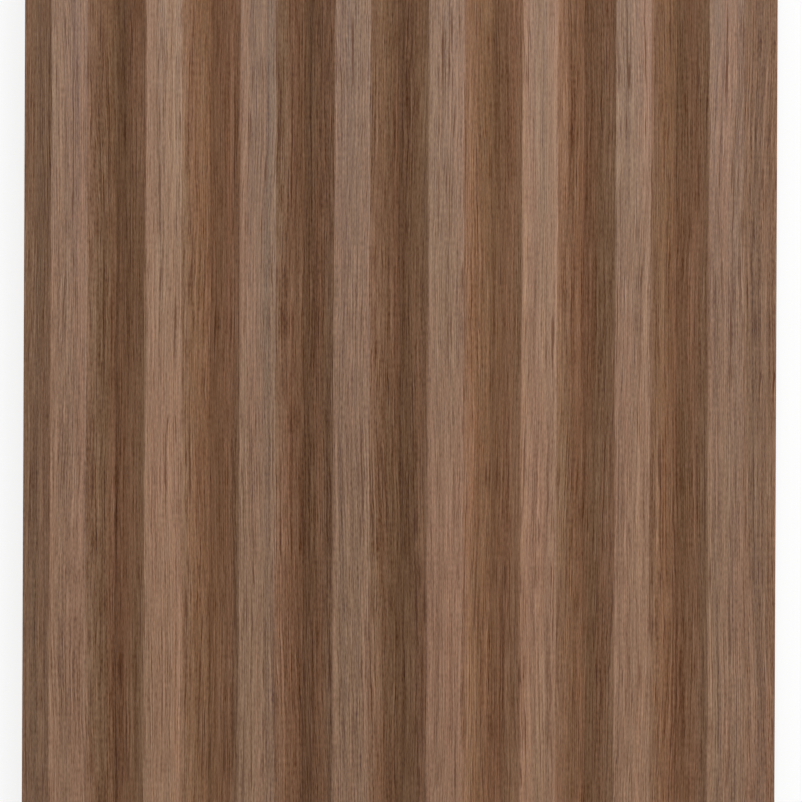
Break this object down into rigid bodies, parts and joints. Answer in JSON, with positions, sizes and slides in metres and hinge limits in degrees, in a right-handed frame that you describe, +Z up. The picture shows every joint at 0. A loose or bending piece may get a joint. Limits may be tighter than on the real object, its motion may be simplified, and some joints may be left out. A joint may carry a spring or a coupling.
{
  "type": "wall panel",
  "caption": "Upright fluted wall panel in brown oak, with flat-topped ridges, V-shaped valleys, a flat back and a tongue-and-groove joint down its long edges.",
  "frame": {"origin": "on the flat back, midway up the length and midway across the width that the ridges cover, with the tongue left out", "axes": "+Z up along the ridges, +X across the panel towards the tongue, +Y out of the back into the wall, so that the ridges face -Y"},
  "size_m": [0.2424, 0.018, 1.2],
  "materials": {
    "oak": "satin lacquer over brown oak"
  },
  "bodies": {
    "root": {"panel": "oak"}
  },
  "joints": []
}
